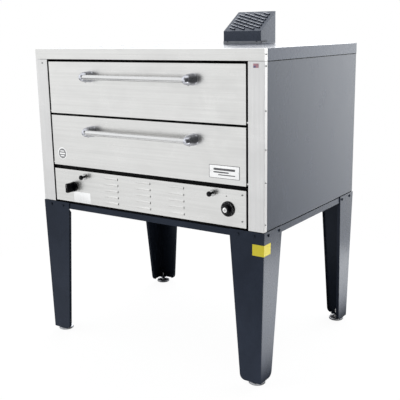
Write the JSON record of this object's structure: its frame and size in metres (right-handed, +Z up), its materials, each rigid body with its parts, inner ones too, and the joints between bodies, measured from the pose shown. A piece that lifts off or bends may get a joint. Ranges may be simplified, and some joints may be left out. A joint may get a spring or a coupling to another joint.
{
  "type": "gas deck pizza oven",
  "caption": "Free-standing gas deck oven with wide drop-down stainless doors, tubular handles, a louvred control panel, dark painted body, slotted draft hood and tapered angle legs.",
  "frame": {"origin": "on the floor under the middle of the bounding box", "axes": "+X to the right as seen from the front, +Y from the doors to the rear, +Z up"},
  "size_m": [1.3, 1.113, 1.649],
  "materials": {
    "stainless_cladding": "vertical-grained satin stainless steel",
    "chrome": "bright chrome plate",
    "slate_paint": "smooth dark slate-grey gloss paint",
    "black_steel": "black heat-resistant paint",
    "galvanised": "dull aluminised sheet",
    "deck_stone": "matt fired stone",
    "mineral_wool": "loose fibre",
    "black_plastic": "black moulded plastic",
    "cast_zinc": "dull casting"
  },
  "bodies": {
    "oven": {"leg_front_left": "slate_paint", "leg_front_right": "slate_paint", "leg_rear_left": "slate_paint", "leg_rear_right": "slate_paint", "base_rail_front": "slate_paint", "base_rail_rear": "slate_paint", "base_rail_left": "slate_paint", "base_rail_right": "slate_paint", "side_panel_left": "slate_paint", "side_panel_right": "slate_paint", "back_panel": "slate_paint", "top_cover": "slate_paint", "flue_riser": "slate_paint", "draft_hood": "slate_paint", "base_plate": "galvanised", "hinge_plate_left": "galvanised", "hinge_plate_right": "galvanised", "chamber_side_left": "galvanised", "chamber_side_right": "galvanised", "chamber_ceiling": "galvanised", "chamber_back": "galvanised", "burner_left": "galvanised", "burner_right": "galvanised", "flame_baffle": "galvanised", "corner_post_left": "stainless_cladding", "corner_post_right": "stainless_cladding", "header_trim": "stainless_cladding", "control_panel": "stainless_cladding", "front_frame": "black_steel", "insulation_left": "mineral_wool", "insulation_right": "mineral_wool", "insulation_top": "mineral_wool", "insulation_back": "mineral_wool", "stone_deck_lower": "deck_stone", "stone_deck_upper": "deck_stone", "gas_valve_body": "cast_zinc", "thermostat_body": "cast_zinc", "gas_manifold": "cast_zinc"},
    "lower_door": {"door_skin_lower": "stainless_cladding", "door_inner_lower": "black_steel", "door_core_lower": "mineral_wool", "handle_tube_lower": "chrome", "handle_bracket_left_lower": "chrome", "handle_bracket_right_lower": "chrome"},
    "upper_door": {"door_skin_upper": "stainless_cladding", "door_inner_upper": "black_steel", "door_core_upper": "mineral_wool", "handle_tube_upper": "chrome", "handle_bracket_left_upper": "chrome", "handle_bracket_right_upper": "chrome"},
    "thermostat_dial": {"thermostat_knob": "black_plastic"},
    "gas_valve_handle": {"gas_valve_knob": "black_plastic"},
    "pilot_plunger": {"pilot_button": "black_plastic"},
    "igniter_plunger": {"igniter_button": "black_plastic"},
    "levelling_foot_front_left": {"foot_front_left": "black_steel"},
    "levelling_foot_front_right": {"foot_front_right": "black_steel"},
    "levelling_foot_rear_left": {"foot_rear_left": "black_steel"},
    "levelling_foot_rear_right": {"foot_rear_right": "black_steel"}
  },
  "joints": [
    {"name": "lower_door_hinge", "type": "hinge", "parent": "oven", "child": "lower_door", "pos_m": [0, -0.4825, 0.9165], "axis": [1, 0, 0], "range_deg": [0, 90]},
    {"name": "upper_door_hinge", "type": "hinge", "parent": "oven", "child": "upper_door", "pos_m": [0, -0.4825, 1.1765], "axis": [1, 0, 0], "range_deg": [0, 90]},
    {"name": "thermostat_turn", "type": "hinge", "parent": "oven", "child": "thermostat_dial", "pos_m": [0.47, -0.4905, 0.799], "axis": [0, 1, 0], "range_deg": [0, 270]},
    {"name": "gas_valve_turn", "type": "hinge", "parent": "oven", "child": "gas_valve_handle", "pos_m": [-0.438, -0.4905, 0.802], "axis": [0, 1, 0], "range_deg": [0, 90]},
    {"name": "pilot_push", "type": "slide", "parent": "oven", "child": "pilot_plunger", "axis": [0, 1, 0], "range_m": [0, 0.006], "stiffness_N_per_m": 400, "springref_m": -0.002},
    {"name": "igniter_push", "type": "slide", "parent": "oven", "child": "igniter_plunger", "axis": [0, 1, 0], "range_m": [0, 0.006], "stiffness_N_per_m": 400, "springref_m": -0.002},
    {"name": "foot_front_left_height", "type": "slide", "parent": "oven", "child": "levelling_foot_front_left", "axis": [0, 0, -1], "range_m": [0, 0.02]},
    {"name": "foot_front_right_height", "type": "slide", "parent": "oven", "child": "levelling_foot_front_right", "axis": [0, 0, -1], "range_m": [0, 0.02]},
    {"name": "foot_rear_left_height", "type": "slide", "parent": "oven", "child": "levelling_foot_rear_left", "axis": [0, 0, -1], "range_m": [0, 0.02]},
    {"name": "foot_rear_right_height", "type": "slide", "parent": "oven", "child": "levelling_foot_rear_right", "axis": [0, 0, -1], "range_m": [0, 0.02]}
  ]
}
